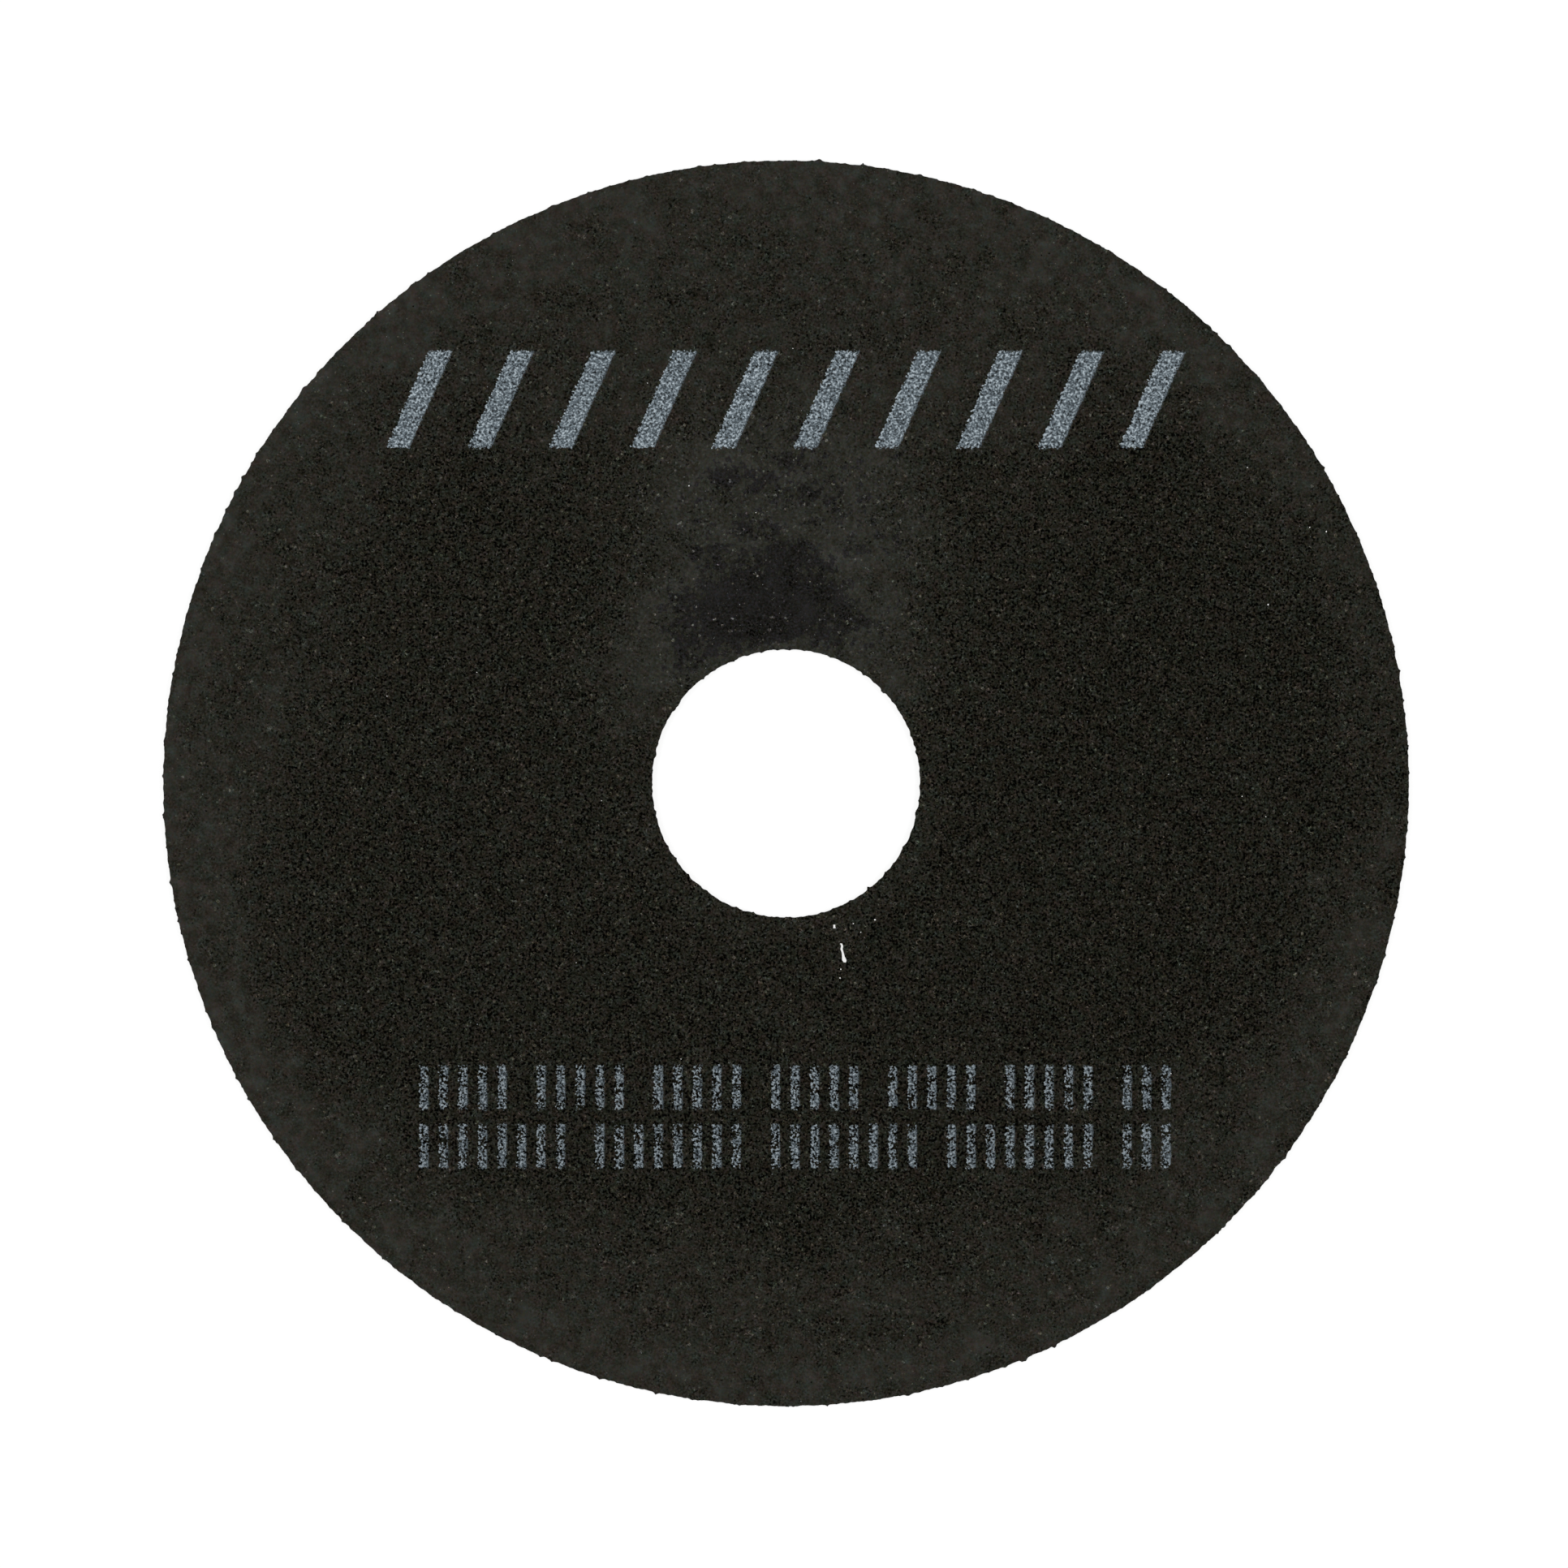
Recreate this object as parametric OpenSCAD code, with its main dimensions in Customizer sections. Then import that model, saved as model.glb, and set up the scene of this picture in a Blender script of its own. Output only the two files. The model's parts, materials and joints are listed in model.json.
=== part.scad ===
// Flat cutting-off wheel: one thin disc of resin-bonded abrasive grain, pressed in a single piece,
// with a plain arbor bore and no metal ring in it.
// The wheel lies on its lower face. The origin is on the axis of the bore, in the plane of that
// face, and +Z runs up the axis. Sizes are in millimetres.

/* [Wheel] */
// Outside diameter of the wheel
wheel_d = 150; // [100:1:230]
// Thickness of the wheel between its two faces
wheel_t = 1; // [0.6:0.1:3.2]

/* [Bore] */
// Diameter of the arbor bore
bore_d = 32; // [10:0.5:60]

/* [Edges] */
// Radius of the two crumbled corners round the rim
rim_corner_r = 0.15; // [0.02:0.01:0.3]
// Radius of the two crumbled corners round the bore
bore_corner_r = 0.1; // [0.02:0.01:0.3]

/* [Hidden] */

// How far a cutting shape runs past the surface that it cuts
overrun = 0.5;
// Sides that stand for a full circle
$fn = 240;

rim_r = wheel_d / 2;
bore_r = bore_d / 2;
// A corner takes at most a third of the thickness, so a straight wall stays between the two of an edge
corner_limit = wheel_t / 3;
rim_round = min(rim_corner_r, corner_limit);
bore_round = min(bore_corner_r, corner_limit);

// What is taken off a square corner at the 2-D origin to leave a round of radius r:
// material lies towards +X and +Y of that corner.
module corner_waste(r) {
    difference() {
        translate([-overrun, -overrun]) square(overrun + r);
        translate([r, r]) circle(r);
    }
}

// Half section of the wheel, from the bore's wall out to the rim
module wheel_section() {
    difference() {
        translate([bore_r, 0]) square([rim_r - bore_r, wheel_t]);
        for (upper = [false, true]) {
            translate([0, upper ? wheel_t : 0]) mirror([0, upper ? 1 : 0]) {
                translate([bore_r, 0]) corner_waste(bore_round);
                translate([rim_r, 0]) mirror([1, 0]) corner_waste(rim_round);
            }
        }
    }
}

// The whole wheel: the section turned once round the axis
module abrasive_disc() {
    color("#23221d") rotate_extrude() wheel_section();
}

abrasive_disc();
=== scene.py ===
"""Flat cutting-off wheel of resin-bonded abrasive: its pressed surface, grains, marks and stage."""

import json
import math
from functools import partial

import bmesh
import bpy
import numpy as np
from mathutils import Euler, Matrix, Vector, noise


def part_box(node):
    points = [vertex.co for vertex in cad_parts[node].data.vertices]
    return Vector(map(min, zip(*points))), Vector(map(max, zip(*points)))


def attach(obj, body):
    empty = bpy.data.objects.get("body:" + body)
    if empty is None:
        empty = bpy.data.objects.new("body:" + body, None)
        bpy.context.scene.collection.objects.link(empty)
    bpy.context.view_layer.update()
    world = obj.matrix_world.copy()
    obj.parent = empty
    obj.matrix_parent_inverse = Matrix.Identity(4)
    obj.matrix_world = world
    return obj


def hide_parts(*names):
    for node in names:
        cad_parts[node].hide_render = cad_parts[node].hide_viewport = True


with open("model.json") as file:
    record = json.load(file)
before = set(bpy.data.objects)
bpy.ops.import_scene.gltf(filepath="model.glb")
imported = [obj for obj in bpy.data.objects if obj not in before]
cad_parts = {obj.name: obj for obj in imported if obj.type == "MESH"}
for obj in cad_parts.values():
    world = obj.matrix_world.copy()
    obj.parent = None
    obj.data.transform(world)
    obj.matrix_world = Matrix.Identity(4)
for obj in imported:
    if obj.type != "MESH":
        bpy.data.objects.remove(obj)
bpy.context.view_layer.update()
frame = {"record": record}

bl_info = {
    "name": "Cutting-off Wheel",
    "version": (1, 0, 0),
    "blender": (4, 5, 0),
    "location": "View3D > Sidebar > Wheel",
    "description": "Builds the surface of a flat bonded abrasive wheel and the stage it lies on",
    "category": "Object",
}

MM = 0.001
NODE = "abrasive_disc"
BODY = "root"
LOW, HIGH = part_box(NODE)
RIM_R = max(HIGH.x, HIGH.y)
BORE_R = next(m["dims"]["r_mm"] for m in frame["record"]["mounts"] if m["kind"] == "bore") * MM

# Names of the values that the body's mesh carries for its material and for its pits
POROSITY, STAIN, PIT, TONE = "porosity", "stain", "pit", "tone"
# The map that the colours can be drawn on
MAP_NAME = "OFBake"
# Width of the strip along rim and bore in which the edge crumbles
EDGE_ZONE = 0.6 * MM
# Height of an even triangle against its side
RISE = math.sin(math.pi / 3)


def linear(code):
    """A linear colour from an sRGB hex code."""
    parts = [int(code[i:i + 2], 16) / 255 for i in (1, 3, 5)]
    return [c / 12.92 if c <= 0.04045 else ((c + 0.055) / 1.055) ** 2.4 for c in parts]


def length(name, description, default):
    """A length property in metres, shown in the scene's units."""
    return bpy.props.FloatProperty(
        name=name, description=description, default=default, unit="LENGTH", precision=5)


def colour(name, description, code):
    """A colour property from an sRGB hex code."""
    return bpy.props.FloatVectorProperty(
        name=name, description=description, default=linear(code), subtype="COLOR", min=0, max=1)


def share(name, description, default):
    """A property from 0 to 1."""
    return bpy.props.FloatProperty(
        name=name, description=description, default=default, min=0, max=1, subtype="FACTOR")


class WHEEL_PG_body(bpy.types.PropertyGroup):
    """Sizes of the pressed body and of its surface"""

    rim_radius: length("Rim radius", "Outside radius, over the grains", RIM_R)
    bore_radius: length("Bore radius", "Radius of the arbor bore", BORE_R)
    top: length("Upper face", "Height of the upper face, over the grains", HIGH.z)
    bottom: length("Lower face", "Height of the lower face, over the grains", LOW.z)
    rim_corner: length("Rim corner", "Radius of the crumbled corners round the rim", 0.15 * MM)
    bore_corner: length("Bore corner", "Radius of the crumbled corners round the bore", 0.1 * MM)
    face_setback: length("Face setback", "Depth of the bond below a face's grain tops", 0.02 * MM)
    rim_setback: length("Rim setback", "Depth of the bond below the rim's grain tops", 0.05 * MM)
    bore_setback: length("Bore setback", "Depth of the bond below the bore's grain tops", 0.15 * MM)
    edge_step: length("Edge step", "Spacing of the mesh round the rim and the bore", 0.25 * MM)
    upper_step: length("Upper step", "Spacing of the mesh on the upper face", 0.9 * MM)
    lower_step: length("Lower step", "Spacing of the mesh on the lower face", 1.4 * MM)
    rim_roughness: length("Rim roughness", "Height of the crumbling on the rim", 0.12 * MM)
    bore_roughness: length("Bore roughness", "Height of the crumbling in the bore", 0.1 * MM)
    edge_chips: length("Edge chips", "Height of the rare nubs and bites on rim and bore", 0.22 * MM)
    edge_grain: length("Edge grain", "Width of the crumbling on rim and bore", 0.8 * MM)
    face_relief: length("Face relief", "Height of the waves left by pressing", 0.012 * MM)
    relief_width: length("Relief width", "Width of the waves left by pressing", 2.5 * MM)
    pit_depth: length("Pit depth", "Depth of the deepest open pores", 0.2 * MM)
    upper_pits: share("Upper pits", "Chance of an open pore at a point of the upper mesh", 0.4)
    lower_pits: share("Lower pits", "Chance of an open pore at a point of the lower mesh", 0.2)
    seed: bpy.props.IntProperty(name="Seed", description="Seed of all that is random", default=7)


class WHEEL_PG_grains(bpy.types.PropertyGroup):
    """Sizes of the abrasive grains that stand out of the bond"""

    width: length("Grain width", "Usual width of a bare grain", 0.2 * MM)
    edge_spacing: length("Edge spacing", "Mean distance of the grains on rim and bore", 0.5 * MM)
    upper_spacing: length("Upper spacing", "Mean distance of bare grains on the upper face", 1.7 * MM)
    lower_spacing: length("Lower spacing", "Mean distance of bare grains on the lower face", 2.2 * MM)


class WHEEL_PG_marks(bpy.types.PropertyGroup):
    """Plain printed marks on the upper face: a row of slanted bars, and two rows of short dashes"""

    bar_width: length("Bar width", "Width of a slanted bar", 2.8 * MM)
    bar_pitch: length("Bar pitch", "Distance from bar to bar", 9.8 * MM)
    bar_count: bpy.props.IntProperty(name="Bars", description="Number of slanted bars", default=10)
    bar_height: length("Bar height", "Height of the row of bars", 11.6 * MM)
    bar_slant: bpy.props.FloatProperty(
        name="Bar slant", description="Lean of the bars", default=math.radians(24), subtype="ANGLE")
    bar_y: length("Bar row", "Place of the row of bars above the axis", 46.2 * MM)
    dash_width: length("Dash width", "Width of a dash", 1.02 * MM)
    dash_pitch: length("Dash pitch", "Distance from dash to dash", 2.35 * MM)
    dash_count: bpy.props.IntProperty(
        name="Dashes", description="Places for dashes in a row", default=40)
    dash_height: length("Dash height", "Height of a dash", 5.2 * MM)
    dash_y: length("Dash rows", "Place of the two rows' middle below the axis", -40.1 * MM)
    row_pitch: length("Row pitch", "Distance of the two rows", 7.1 * MM)


class WHEEL_PG_colours(bpy.types.PropertyGroup):
    """Colours of the bond, the grains, the marks and the floor"""

    bond: colour("Bond", "Olive grey of the pressed bond", "#2b2a24")
    bond_brown: colour("Brown bond", "Bond where brown grain shows through", "#2f2a25")
    bond_green: colour("Green bond", "Bond where grey-green grain shows through", "#282b25")
    bond_wiped: colour("Wiped bond", "Neutral bond round the smudge", "#30302a")
    stain: colour("Stain", "Smudge above the bore", "#1e1d1b")
    ink_dark: colour("Thin ink", "Printed mark where its ink is thin", "#3f4549")
    ink: colour("Ink", "Printed mark", "#68737a")
    ink_pale: colour("Thick ink", "Printed mark where its ink is thick", "#bac6cd")
    grain_dark: colour("Dark grain", "Darkest bare grains", "#211f1b")
    grain: colour("Grain", "Usual bare grains", "#3d3c37")
    # Partly pale grain and partly a painted glint on bare grain
    grain_pale_glint: colour("Pale grain", "Brightest bare grains", "#a9b0b3")
    chip: colour("Chip", "White chips and dust", "#fdfdfb")
    floor: colour("Floor", "Pale table", "#ffffff")


class WHEEL_PG_stage(bpy.types.PropertyGroup):
    """Camera, lamps and floor"""

    view_width: length("View width", "Width of the picture at the upper face", 188.63 * MM)
    focal_mm: bpy.props.FloatProperty(
        name="Lens", description="Focal length of the camera", default=100, unit="CAMERA")
    sensor_mm: bpy.props.FloatProperty(
        name="Sensor", description="Width of the camera's sensor", default=36, unit="CAMERA")
    aim_x: length("Aim X", "Point under the camera, across", -0.244 * MM)
    aim_y: length("Aim Y", "Point under the camera, along", -0.068 * MM)
    lamp_distance: length("Lamp distance", "Distance of the soft lamps", 0.8)
    lamp_size: length("Lamp size", "Side of the soft lamps", 0.6)
    lamp_tilt: bpy.props.FloatProperty(
        name="Lamp tilt", description="Angle of the lamps from the vertical",
        default=math.radians(45), subtype="ANGLE")
    lamp_level: share("Lamp level", "Light on a white face from each lamp", 0.3)
    ambient: share("Ambient level", "Light on a white face from all round", 0.4)
    floor_size: length("Floor size", "Side of the floor", 0.9)


# Mesh of the body


def corner_rings(radius, height, size, start, steps=3):
    """Rings round a quarter corner about this radius and height, clockwise from start degrees."""
    turn = np.radians(start - np.linspace(0, 90, steps + 1))
    return np.column_stack([radius + size * np.cos(turn), height + size * np.sin(turn)])


def face_radii(inner, outer, edge_step, face_step, growth=1.3):
    """Radii across a face, without its ends: close at the edges, and face_step apart between them."""
    near = edge_step * RISE * growth ** np.arange(math.ceil(math.log(face_step / edge_step, growth)))
    middle = outer - inner - 2 * near.sum()
    count = round(middle / (face_step * RISE))
    widths = np.concatenate([near, np.full(count, middle / count), near[::-1]])
    return inner + np.cumsum(widths)[:-1]


def section_rings(body, wall_steps=4):
    """Radius and height of each ring of the closed section: bore, upper face, rim, lower face."""
    rim = body.rim_radius - body.rim_setback
    bore = body.bore_radius + body.bore_setback
    top = body.top - body.face_setback
    bottom = body.bottom + body.face_setback
    rim_in, bore_in = rim - body.rim_corner, bore + body.bore_corner
    upper = face_radii(bore_in, rim_in, body.edge_step, body.upper_step)
    lower = face_radii(bore_in, rim_in, body.edge_step, body.lower_step)[::-1]
    rim_wall = np.linspace(top - body.rim_corner, bottom + body.rim_corner, wall_steps + 1)[1:-1]
    bore_wall = np.linspace(bottom + body.bore_corner, top - body.bore_corner, wall_steps + 1)[1:-1]
    return np.concatenate([
        corner_rings(bore_in, top - body.bore_corner, body.bore_corner, 180),
        np.column_stack([upper, np.full(len(upper), top)]),
        corner_rings(rim_in, top - body.rim_corner, body.rim_corner, 90),
        np.column_stack([np.full(len(rim_wall), rim), rim_wall]),
        corner_rings(rim_in, bottom + body.rim_corner, body.rim_corner, 0),
        np.column_stack([lower, np.full(len(lower), bottom)]),
        corner_rings(bore_in, bottom + body.bore_corner, body.bore_corner, -90),
        np.column_stack([np.full(len(bore_wall), bore), bore_wall]),
    ])


def zip_rings(first, first_turns, second, second_turns):
    """Triangles between two closed rings, each given by its point numbers and their angles."""
    ends = np.concatenate([
        first_turns[1:], first_turns[:1] + math.tau, second_turns[1:], second_turns[:1] + math.tau])
    on_first = np.argsort(ends, kind="stable") < len(first)
    i = np.cumsum(on_first) - on_first
    j = np.arange(len(ends)) - i
    far = np.where(on_first, first[(i + 1) % len(first)], second[(j + 1) % len(second)])
    return np.column_stack([first[i % len(first)], second[j % len(second)], far])


def ring_points(body, rng, stray=0.22):
    """The closed body as rings of points, each with its own count, joined by triangles of even size.

    Points of the faces stray by up to this share of their spacing, and those of the edges don't.
    """
    rings = section_rings(body)
    ahead = np.linalg.norm(np.roll(rings, -1, 0) - rings, axis=1)
    spacing = np.maximum((ahead + np.roll(ahead, 1)) / 2 / RISE, body.edge_step)
    loose = np.where(spacing > 1.5 * body.edge_step, stray, 0.0)
    points, numbers, turns = [], [], []
    for (radius, height), step, play in zip(rings, spacing, loose):
        count = round(math.tau * radius / step)
        turn = np.arange(count) + rng.random() + play * rng.uniform(-1, 1, count)
        turn *= math.tau / count
        out = radius + play * step * rng.uniform(-1, 1, count)
        numbers.append(np.arange(count) + sum(map(len, numbers)))
        turns.append(turn)
        points.append(np.column_stack([out * np.cos(turn), out * np.sin(turn), np.full(count, height)]))
    triangles = [
        zip_rings(numbers[k - 1], turns[k - 1], numbers[k], turns[k]) for k in range(len(rings))]
    return np.concatenate(points), np.concatenate(triangles)


def open_pores(points, triangles, chance, drop, rng, mouth=(0.09, 0.24), depth=(0.4, 1)):
    """Sinks some points into angular pits, no two side by side, and also returns which are pit floors.

    Each triangle at a sunk point is cut across, and the cuts make the pit's mouth, between two shares
    of the way to the next points. The floor lies between two shares of the drop.
    """
    total = len(points)
    wanted = rng.random(total) < chance
    rank = np.where(wanted, rng.random(total), -1)
    rival = np.full(total, -1.0)
    for a, b in ((0, 1), (1, 2), (2, 0)):
        np.maximum.at(rival, triangles[:, a], rank[triangles[:, b]])
        np.maximum.at(rival, triangles[:, b], rank[triangles[:, a]])
    floors = wanted & (rank > rival)
    corner = floors[triangles]
    cut = corner.any(axis=1)
    order = (corner[cut].argmax(axis=1)[:, None] + np.arange(3)) % 3
    floor, a, b = np.take_along_axis(triangles[cut], order, axis=1).T
    spokes, mouth_a = np.unique(floor * total + a, return_inverse=True)
    mouth_b = np.searchsorted(spokes, floor * total + b) + total
    mouth_a = mouth_a + total
    middle, end = points[spokes // total], points[spokes % total]
    mouths = middle + rng.uniform(*mouth, len(spokes))[:, None] * (end - middle)
    sunk = points.copy()
    sunk[floors, 2] += drop[floors] * rng.uniform(*depth, floors.sum())
    triangles = np.concatenate([
        triangles[~cut],
        np.column_stack([a, b, mouth_b]),
        np.column_stack([a, mouth_b, mouth_a]),
        np.column_stack([floor, mouth_a, mouth_b]),
    ])
    floors = np.concatenate([floors, np.zeros(len(mouths), bool)])
    return np.concatenate([sunk, mouths]), triangles, floors


# Where the surface is dense, open or stained

# Where the dense band along the rim is wider: middle and half width of the stretch in degrees, then the
# millimetres by which its slope and its outer edge come in
BAND_STRETCHES = (
    (97, 38, 10, 2.2), (58, 16, 3, 2.5), (262, 50, 7.5, 0.6), (312, 20, 4, -1.5),
    (170, 24, 6, 0), (205, 18, -6, 1.5), (8, 26, -6, -6.5))
# Middle and half widths, in millimetres, of the weak blots that trail up from the smudge
TRAIL_BLOTS = (
    (3.5, 35.3, 3.8, 1.3), (-3, 36.3, 2.4, 1.5), (-7.5, 37, 2, 1.7), (-5.2, 31, 1.3, 2.1),
    (-9.5, 27.5, 2, 1.7), (8, 28.7, 1.5, 1.5), (1, 38.6, 2.4, 1.2))


def soft_step(low, high, value):
    """0 below low, 1 above high and a smooth rise between."""
    t = np.clip((value - low) / (high - low), 0, 1)
    return t * t * (3 - 2 * t)


def blots(points, size, seed):
    """Soft noise of about -1 to 1 at each point, in blots of this size."""
    shift = Vector((seed * 7.3, seed * 3.1, seed * 5.7))
    return np.array([noise.noise(Vector(p) / size + shift) for p in points]) * 1.6


def porosity_at(points, upper, seed):
    """How open the surface is, from 0 in the dense rim and column to 1 in the open field.

    Places are in millimetres, and a border wanders by the noise in edge.
    """
    x, y = points[:, 0] / MM, points[:, 1] / MM
    radius = np.hypot(x, y)
    turn = np.degrees(np.arctan2(y, x))
    edge = blots(points, 9 * MM, seed) * 3 + blots(points, 3 * MM, seed + 1) * 1.5
    slope, rim = radius + edge, radius + 0.6 * edge
    for middle, width, inward, at_rim in BAND_STRETCHES:
        away = (turn - middle + 180) % 360 - 180
        lobe = np.exp(-(away / width) ** 2)
        slope = slope + inward * lobe
        rim = rim + at_rim * lobe
    band = 0.5 * soft_step(57, 71, slope) + 0.5 * soft_step(65, 74, rim)
    # The column rises from the bore, leans to the left and ends in a wide head under the bars
    column = soft_step(-26, -14, x + 0.7 * edge - 0.3 * (y - 20)) * soft_step(-24, -8, edge - x)
    column = 0.9 * upper * column * soft_step(3, 13, y + edge) * soft_step(50, 38, y + edge)
    head = 0.3 * soft_step(24, 34, y + edge) + 0.7 * soft_step(37, 46, y + edge)
    head = head * soft_step(-42, -26, x + edge) * soft_step(-44, -28, edge - x)
    bore = 0.22 * soft_step(22, 17, radius)
    closed = np.maximum.reduce([band, column, 0.62 * upper * head, bore])
    # The last two millimetres are made darker and more open at the lower right, and lighter and denser at
    # the left
    closed = closed - soft_step(72.4, 74.2, radius) * (0.06 - 0.28 * np.cos(np.radians(turn - 160)))
    clouds = blots(points, 5 * MM, seed + 3) * 0.6 + blots(points, 2 * MM, seed + 4) * 0.9
    # The right half is made a little darker and more open than the left
    more = 0.08 * soft_step(0, 40, x)
    return 1 - closed + more * (1 - closed) + clouds * (0.14 + 0.36 * closed)


def stain_at(points, upper, seed):
    """The smudge above the bore, weaker along the bore's edge, and the blots that trail up from it."""
    x, y = points[:, 0] / MM, points[:, 1] / MM
    edge = blots(points, 4 * MM, seed + 2) * 0.25
    # Wider at its foot than at its top
    half = np.maximum(9 - 0.3 * (y - 21), 1)
    core = soft_step(2.3, 0.3, np.hypot((x + 1.6) / half, (y - 21) / 7.5) + edge)
    core = core * (0.5 + 0.5 * soft_step(16, 18.6, np.hypot(x, y)))
    trail = 0.4 * soft_step(1.15, 0.55, np.hypot((x + 1) / 18, (y - 33) / 13) + edge)
    for across, along, wide, high in TRAIL_BLOTS:
        blot = soft_step(2.2, 0.2, np.hypot((x - across) / wide, (y - along) / high) + edge)
        trail = np.maximum(trail, 0.72 * blot)
    return np.maximum(core, trail) * upper


def store(mesh, name, values):
    """Keeps one number for each point of the mesh."""
    mesh.attributes.new(name, "FLOAT", "POINT").data.foreach_set("value", values.astype(np.float32))


def read(rows, name, width=1, kind=np.float32):
    """One number, or a vector of this width, from each row of a mesh's data."""
    flat = np.empty(len(rows) * width, kind)
    rows.foreach_get(name, flat)
    return flat.reshape(-1, width) if width > 1 else flat


def surface_mesh(body):
    """The body's mesh, with how open, how stained and how deep it is stored at its points."""
    rng = np.random.default_rng(body.seed)
    points, triangles = ring_points(body, rng)
    middle = (body.top + body.bottom) / 2
    upper = points[:, 2] > middle
    radius = np.hypot(points[:, 0], points[:, 1])
    inside = (radius > body.bore_radius + MM) & (radius < body.rim_radius - MM)
    porosity = porosity_at(points, upper, body.seed)
    chance = np.where(upper, body.upper_pits, body.lower_pits) * inside * np.clip(porosity, 0.04, 1)
    drop = np.where(upper, -body.pit_depth, body.pit_depth)
    points, triangles, floors = open_pores(points, triangles, chance, drop, rng)
    upper = points[:, 2] > middle
    mesh = bpy.data.meshes.new("pressed_disc")
    mesh.from_pydata(points, [], triangles)
    store(mesh, POROSITY, porosity_at(points, upper, body.seed))
    store(mesh, STAIN, stain_at(points, upper, body.seed))
    store(mesh, PIT, floors)
    return mesh


def lay_out_map(mesh, body):
    """Lays the upper face with both walls large in the map, and the lower face small in a corner."""
    # Radii of both in the map, and the margin round them
    big, small, margin = 0.405, 0.17, 0.006
    centres = read(mesh.polygons, "center", 3)
    reach = np.hypot(centres[:, 0], centres[:, 1])
    steep = np.abs(read(mesh.polygons, "normal", 3)[:, 2]) < 0.8
    on_rim = steep & (reach > body.rim_radius - MM)
    in_bore = steep & (reach < body.bore_radius + MM)
    lower = (centres[:, 2] < (body.top + body.bottom) / 2) & ~on_rim & ~in_bore
    totals = read(mesh.polygons, "loop_total", kind=np.int32)
    face_of = np.repeat(np.arange(len(totals)), totals)
    loops = read(mesh.loops, "vertex_index", kind=np.int32)
    spots = read(mesh.vertices, "co", 3).astype(float)[loops]
    radius = np.hypot(spots[:, 0], spots[:, 1])
    depth = body.top - spots[:, 2]
    # The rim folds outwards and the bore inwards
    laid = radius + depth * on_rim[face_of] - depth * in_bore[face_of]
    widest = body.rim_radius + body.top - body.bottom
    size = np.where(lower[face_of], small / body.rim_radius, big / widest)
    middle = np.where(lower[face_of], 1 - small - margin, big + margin)
    uv = spots[:, :2] * (laid / radius * size)[:, None] + middle[:, None]
    layer = mesh.uv_layers.new(name=MAP_NAME)
    layer.data.foreach_set("uv", uv.astype(np.float32).ravel())


# Geometry Nodes

# Kinds of node that come often
MATH, VECTOR, MIX = "ShaderNodeMath", "ShaderNodeVectorMath", "ShaderNodeMix"
RANGE, RAMP, AXES = "ShaderNodeMapRange", "ShaderNodeValToRGB", "ShaderNodeSeparateXYZ"
RANDOM = "FunctionNodeRandomValue"


def fill(tree, node, inputs):
    """Links or sets inputs of a node, in their order or by number or name."""
    for key, value in inputs.items() if isinstance(inputs, dict) else enumerate(inputs):
        if isinstance(value, bpy.types.NodeSocket):
            tree.links.new(value, node.inputs[key])
        else:
            node.inputs[key].default_value = value


def add_node(tree, kind, inputs=(), operation=None, out=0, **settings):
    """Adds a node, sets it, fills its inputs, and returns one of its outputs."""
    node = tree.nodes.new(kind)
    if operation:
        node.operation = operation
    for name, value in settings.items():
        setattr(node, name, value)
    fill(tree, node, inputs)
    return node.outputs[out] if len(node.outputs) else node


def new_tree(name, **inputs):
    """A Geometry Nodes tree with these inputs of each kind, what adds a node to it, and its inputs."""
    tree = bpy.data.node_groups.new(name, "GeometryNodeTree")
    for kind, labels in {"Geometry": ("Geometry",), **inputs}.items():
        for label in labels:
            tree.interface.new_socket(label, in_out="INPUT", socket_type="NodeSocket" + kind)
    tree.interface.new_socket("Geometry", in_out="OUTPUT", socket_type="NodeSocketGeometry")
    return tree, partial(add_node, tree), tree.nodes.new("NodeGroupInput").outputs


def run_tree(piece, tree, values):
    """Runs a tree on a piece and keeps what it makes as the piece's plain mesh."""
    modifier = piece.modifiers.new(tree.name, "NODES")
    modifier.node_group = tree
    names = {s.name: s.identifier for s in tree.interface.items_tree if s.in_out == "INPUT"}
    for label, value in values.items():
        modifier[names[label]] = value
    graph = bpy.context.evaluated_depsgraph_get()
    made = bpy.data.meshes.new_from_object(
        piece.evaluated_get(graph), preserve_all_data_layers=True, depsgraph=graph)
    piece.modifiers.remove(modifier)
    piece.data = made
    made.name = piece.name


# Inputs of the relief that take the body's sizes of these names
RELIEF_SIZES = (
    "Face Relief", "Relief Width", "Rim Roughness", "Bore Roughness", "Edge Chips", "Edge Grain")


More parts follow.
